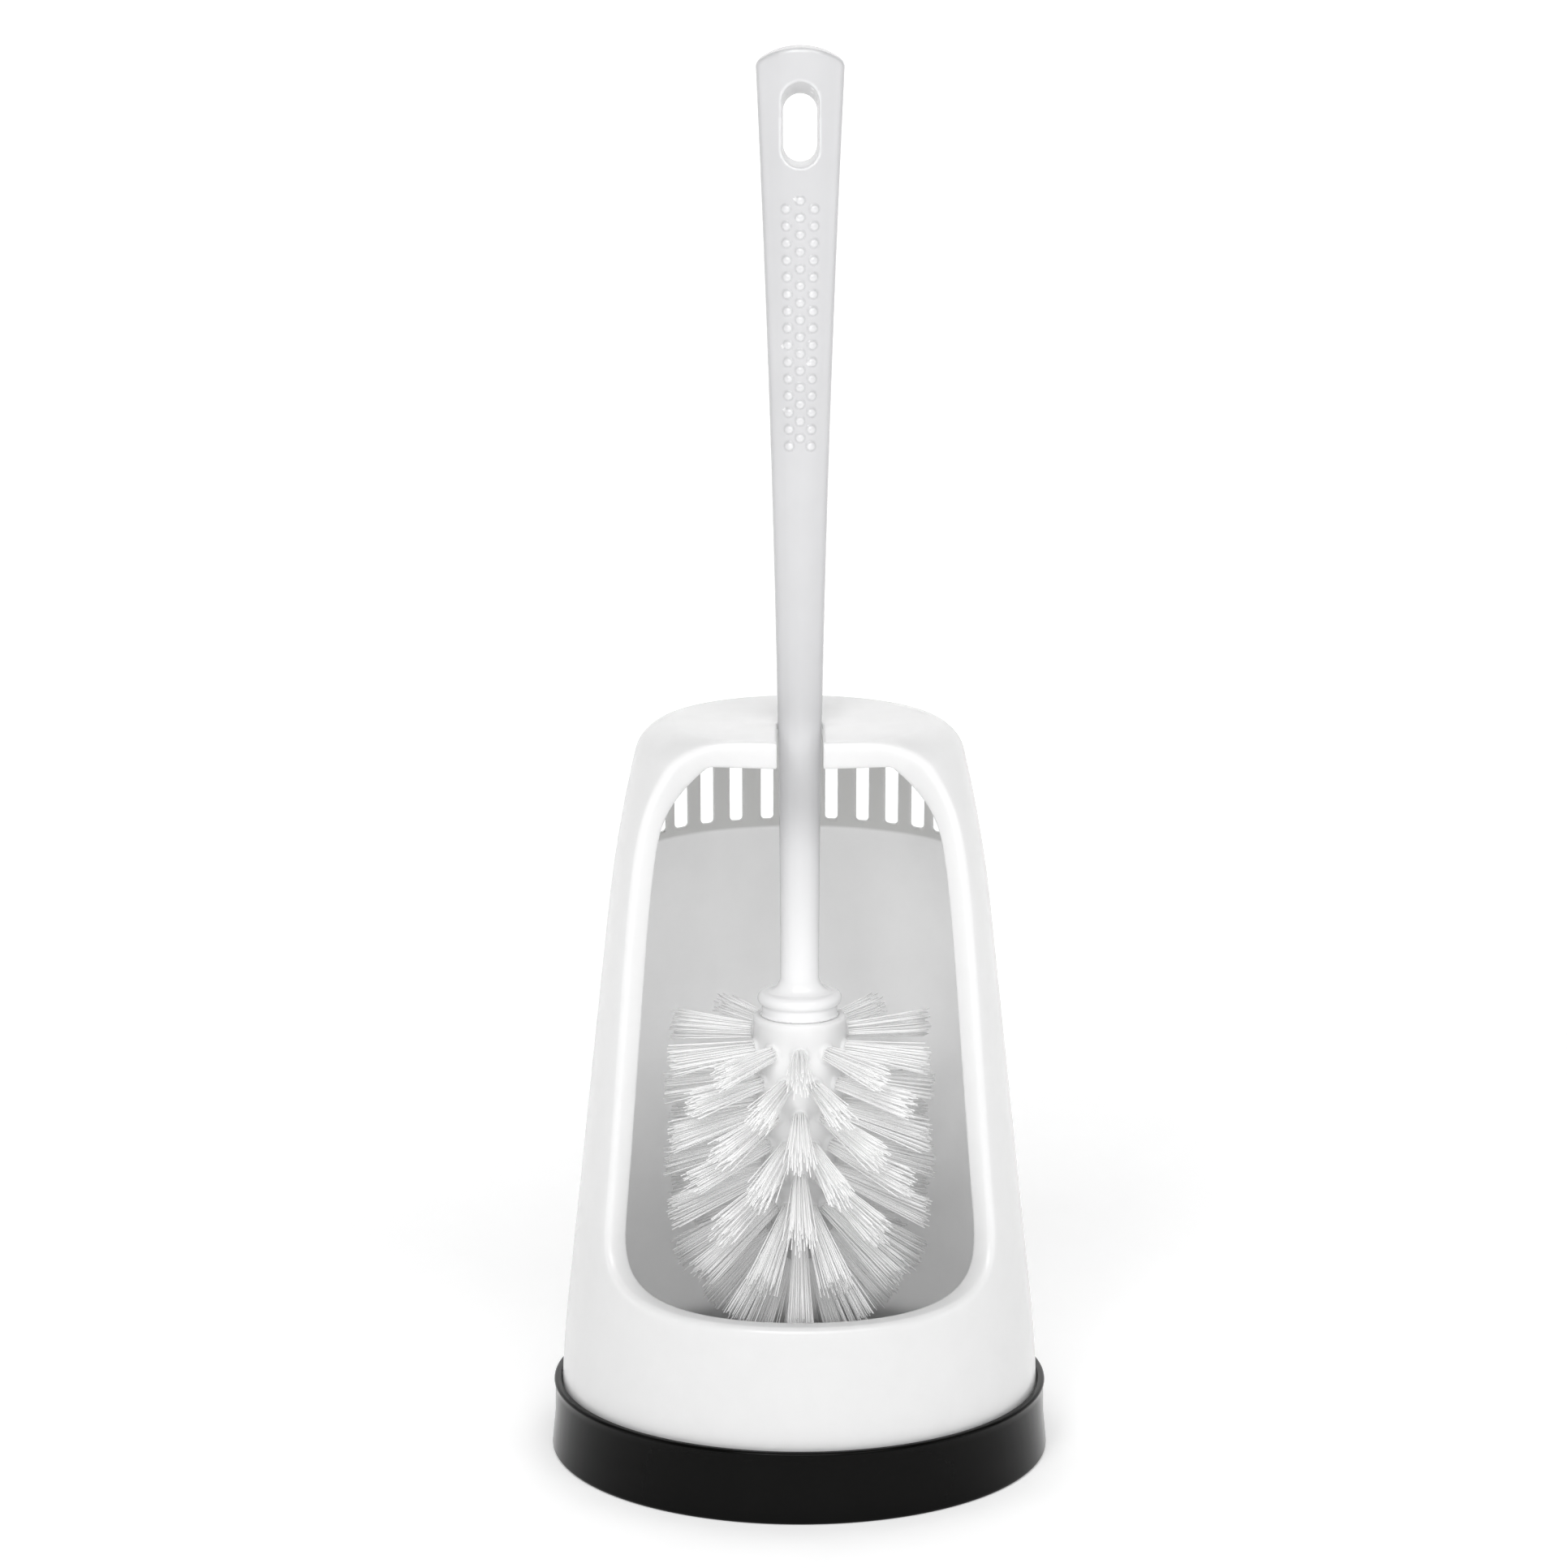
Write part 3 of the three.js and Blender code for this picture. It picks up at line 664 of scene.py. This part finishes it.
# ---- materials ----
def plastic(name, colour, roughness, grain=0.02, specular=0.5, glow=0.0, lit=0.0):
    """Moulded plastic: a faint mottle in colour and gloss, and a fine orange-peel surface.
    Glow is how far light spreads inside, in millimetres, and lit is a faint light of its own."""
    material = bpy.data.materials.new(name)
    material.use_nodes = True
    nodes, links = material.node_tree.nodes, material.node_tree.links
    shader = nodes["Principled BSDF"]
    shader.inputs["Specular IOR Level"].default_value = specular
    shader.inputs["Subsurface Weight"].default_value = 1.0 if glow else 0.0
    shader.inputs["Subsurface Radius"].default_value = (1, 1, 1)
    shader.inputs["Subsurface Scale"].default_value = glow * MM
    shader.inputs["Emission Color"].default_value = (1, 1, 1, 1)
    shader.inputs["Emission Strength"].default_value = lit
    place = nodes.new("ShaderNodeTexCoord")
    mottle = nodes.new("ShaderNodeTexNoise")
    mottle.inputs["Scale"].default_value = 60.0
    mottle.inputs["Detail"].default_value = 4.0
    links.new(place.outputs["Object"], mottle.inputs["Vector"])
    tint = nodes.new("ShaderNodeValToRGB")
    tint.color_ramp.elements[0].position = 0.3
    tint.color_ramp.elements[1].position = 0.7
    tint.color_ramp.elements[0].color = (*[c * (1 - grain) for c in colour], 1)
    tint.color_ramp.elements[1].color = (*[min(c * (1 + grain), 1) for c in colour], 1)
    links.new(mottle.outputs["Fac"], tint.inputs["Fac"])
    links.new(tint.outputs["Color"], shader.inputs["Base Color"])
    gloss = nodes.new("ShaderNodeMapRange")
    gloss.inputs["To Min"].default_value = roughness * 0.9
    gloss.inputs["To Max"].default_value = roughness * 1.12
    links.new(mottle.outputs["Fac"], gloss.inputs["Value"])
    links.new(gloss.outputs["Result"], shader.inputs["Roughness"])
    peel = nodes.new("ShaderNodeTexNoise")
    peel.inputs["Scale"].default_value = 900.0
    links.new(place.outputs["Object"], peel.inputs["Vector"])
    relief = nodes.new("ShaderNodeBump")
    relief.inputs["Strength"].default_value = 0.02
    relief.inputs["Distance"].default_value = 0.0004
    links.new(peel.outputs["Fac"], relief.inputs["Height"])
    links.new(relief.outputs["Normal"], shader.inputs["Normal"])
    return material


def ramp(material, value, start, end):
    """0 where a value is at start, 1 where it is at end."""
    share = material.node_tree.nodes.new("ShaderNodeMapRange")
    share.inputs["From Min"].default_value = start
    share.inputs["From Max"].default_value = end
    material.node_tree.links.new(value, share.inputs["Value"])
    return share.outputs["Result"]


def recolour(material, share, colour):
    """Mixes another colour into a plastic by a share from 0 to 1."""
    nodes, links = material.node_tree.nodes, material.node_tree.links
    base = nodes["Principled BSDF"].inputs["Base Color"]
    mix = nodes.new("ShaderNodeMix")
    mix.data_type = "RGBA"
    mix.inputs["B"].default_value = (*colour, 1)
    links.new(share, mix.inputs["Factor"])
    links.new(base.links[0].from_socket, mix.inputs["A"])
    links.new(mix.outputs["Result"], base)


def position(material):
    """The X, Y and Z of a point on the object, in metres."""
    nodes, links = material.node_tree.nodes, material.node_tree.links
    place = nodes.new("ShaderNodeTexCoord")
    split = nodes.new("ShaderNodeSeparateXYZ")
    links.new(place.outputs["Object"], split.inputs["Vector"])
    return split.outputs["X"], split.outputs["Y"], split.outputs["Z"]


def arithmetic(material, operation, *values):
    """A Math node on sockets and numbers."""
    node = material.node_tree.nodes.new("ShaderNodeMath")
    node.operation = operation
    for socket, value in zip(node.inputs, values):
        if isinstance(value, float):
            socket.default_value = value
        else:
            material.node_tree.links.new(value, socket)
    return node.outputs["Value"]


def collar_painted_light(material):
    """Painted light: the handle's plastic is painted whiter towards the collar."""
    _, _, z = position(material)
    # painted light, whiter lower down towards the collar
    recolour(material, ramp(material, z, 175 * MM, 128 * MM), (0.93, 0.93, 0.935))


def painted_dot_shade_and_highlight(material):
    """Painted shade and painted highlight: the handle is painted greyer in the hollow round each
    grip dot and whiter on the dots themselves.
    """
    bend = material.node_tree.nodes.new("ShaderNodeNewGeometry").outputs["Pointiness"]
    # painted shade in the hollows round the dots
    recolour(material, ramp(material, bend, 0.49, 0.44), (0.44, 0.44, 0.45))
    x, _, z = position(material)
    inner = ramp(material, arithmetic(material, "ABSOLUTE", x), 6 * MM, 5 * MM)
    above = ramp(material, z, (GRIP_LOWEST - 4.2) * MM, (GRIP_LOWEST - 3.8) * MM)
    among = arithmetic(material, "MULTIPLY", inner, above)
    # painted highlight: the domes of the dots are whiter
    domed = ramp(material, bend, 0.51, 0.56)
    recolour(material, arithmetic(material, "MULTIPLY", domed, among), (0.84, 0.84, 0.85))


def painted_grille_shade(material):
    """Painted shade: inside the back wall, the band with the slots is painted darker, standing in
    for the shade under the hood.
    """
    x, y, z = position(material)
    radius = arithmetic(
        material,
        "SQRT",
        arithmetic(
            material,
            "ADD",
            arithmetic(material, "MULTIPLY", x, x),
            arithmetic(material, "MULTIPLY", y, y),
        ),
    )
    # the middle of the wall leans in by this slope above the band's lower edge
    above = arithmetic(material, "SUBTRACT", z, GRILLE_LOW * MM)
    cone = arithmetic(material, "MULTIPLY_ADD", above, GRILLE_LEAN, radius)
    inside = ramp(material, cone, (GRILLE_RADIUS + 0.3) * MM, (GRILLE_RADIUS - 0.3) * MM)
    over = ramp(material, z, GRILLE_LOW * MM, (GRILLE_LOW + 0.8) * MM)
    under = ramp(material, z, (SLOT_TOP + 4) * MM, SLOT_TOP * MM)
    back = ramp(material, y, 0.0, 10 * MM)
    band = arithmetic(material, "MULTIPLY", over, under)
    share = arithmetic(material, "MULTIPLY", arithmetic(material, "MULTIPLY", inside, band), back)
    # painted shade: the band inside the back wall is darkened
    recolour(material, share, (0.62, 0.62, 0.612))


# ---- assembly ----
def place_piece(piece, body, node, material):
    """Puts a finished piece in its body and its CAD node's stead."""
    piece.data.materials.append(material)
    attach(piece, body)
    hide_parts(node)


def build_object():
    """Makes the materials and every piece, each on its body."""
    white = plastic("white_holder", (0.93, 0.93, 0.93), 0.24, glow=5.0)
    painted_grille_shade(white)
    grip = plastic("white_handle", (0.64, 0.64, 0.65), 0.2)
    painted_dot_shade_and_highlight(grip)
    collar_painted_light(grip)
    milky = plastic("milky_core", (0.88, 0.88, 0.88), 0.42, glow=1.8)
    black = plastic("black_tray", (0.003, 0.003, 0.0028), 0.14, grain=0.1, specular=0.08)
    # painted light: the nylon glows faintly of its own, though it is no lamp, standing in for light
    # passing through the bristles
    nylon = plastic("white_nylon", (0.97, 0.97, 0.97), 0.45, lit=0.08)

    tray = turned("drip_tray", tray_profile(), 256)
    place_piece(tray, "base", "base_tray", black)
    holder = skin_of("holder", holder_field, HOLDER_LOW, HOLDER_HIGH, 0.5)
    place_piece(holder, "holder", "holder_shell", white)
    handle = skin_of("handle", handle_field, HANDLE_LOW, HANDLE_HIGH, 0.38)
    place_piece(handle, "brush", "brush_handle", grip)
    core = skin_of("head_core", core_field, CORE_LOW - 1, CORE_HIGH + 1, 0.45)
    place_piece(core, "brush", "brush_head_core", milky)

    random = np.random.default_rng(7)
    names = [f"bristle_row_{i + 1}" for i in range(len(ROWS))] + ["bristle_end_tufts"]
    for name, ring in zip(names, tuft_roots()):
        lines = filaments_of(ring, random)
        bristles = bristle_mesh(name.replace("bristle", "filaments"), lines, FILAMENT_RADIUS)
        place_piece(bristles, "brush", name, nylon)


# ---- studio ----
def build_floor():
    """A pale floor that curves up into a backdrop."""
    mesh = bpy.data.meshes.new("floor")
    half, back, high, bend = 6.0, 1.8, 2.6, 0.7
    section = [(-half, 0.0), (back - bend, 0.0)]
    section += [
        (back - bend + bend * math.sin(t), bend - bend * math.cos(t))
        for t in np.linspace(0.1, math.pi / 2, 14)
    ]
    section += [(back, high)]
    points = [(side * half, y, z) for y, z in section for side in (-1, 1)]
    faces = [(2 * i, 2 * i + 1, 2 * i + 3, 2 * i + 2) for i in range(len(section) - 1)]
    mesh.from_pydata(points, [], faces)
    mesh.polygons.foreach_set("use_smooth", np.ones(len(faces), bool))
    floor = bpy.data.objects.new("floor", mesh)
    bpy.context.scene.collection.objects.link(floor)
    paper = plastic("floor_paper", (0.97, 0.97, 0.97), 0.8, grain=0.01, specular=0.2, lit=0.28)
    floor.data.materials.append(paper)


def soft_light(name, place, target, size, watts):
    """A square soft box at a place, facing a target."""
    lamp = bpy.data.lights.new(name, "AREA")
    lamp.shape = "RECTANGLE"
    lamp.size, lamp.size_y = size
    lamp.energy = watts
    light = bpy.data.objects.new(name, lamp)
    light.location = place
    toward = np.array(target) - np.array(place)
    yaw = math.atan2(toward[1], toward[0]) - math.pi / 2
    pitch = math.atan2(toward[2], math.hypot(toward[0], toward[1]))
    light.rotation_euler = (pitch + math.pi / 2, 0, yaw)
    bpy.context.scene.collection.objects.link(light)


def build_studio():
    """The floor, seven soft boxes and a faint even light from all round."""
    build_floor()
    soft_light("front", (-0.1, -1.5, 0.75), (0, 0, 0.12), (1.2, 0.6), 4.3)
    soft_light("high", (0, -1.2, 1.15), (0, 0, 0.15), (1.0, 0.5), 9)
    soft_light("key_left", (-0.5, -1.2, 1.15), (0, 0, 0.15), (0.5, 0.5), 3.7)
    soft_light("key_right", (0.75, -1.0, 1.15), (0, 0, 0.15), (0.5, 0.5), 3.2)
    soft_light("side_left", (-1.6, -0.3, 0.35), (0, 0, 0.12), (1.0, 1.0), 2.9)
    soft_light("side_right", (1.6, -0.3, 0.35), (0, 0, 0.12), (1.0, 1.0), 3.2)
    soft_light("backdrop", (0, 0.7, 1.6), (0, 1.8, 0.7), (2.4, 0.6), 12)
    world = bpy.data.worlds.new("studio")
    world.use_nodes = True
    world.node_tree.nodes["Background"].inputs["Color"].default_value = (1, 1, 1, 1)
    world.node_tree.nodes["Background"].inputs["Strength"].default_value = 0.08
    bpy.context.scene.world = world
    bpy.context.scene.view_settings.view_transform = "Standard"


def build_camera():
    """A long lens 1.3 m in front of the object, looking down a little."""
    lens = bpy.data.cameras.new("camera")
    lens.lens = 114.34
    lens.sensor_width = 36.0
    camera = bpy.data.objects.new("camera", lens)
    camera.location = (-0.0042, -1.3, 0.454)
    camera.rotation_euler = (math.radians(78.25), 0, 0)
    bpy.context.scene.collection.objects.link(camera)
    bpy.context.scene.camera = camera


build_camera()
build_studio()
build_object()
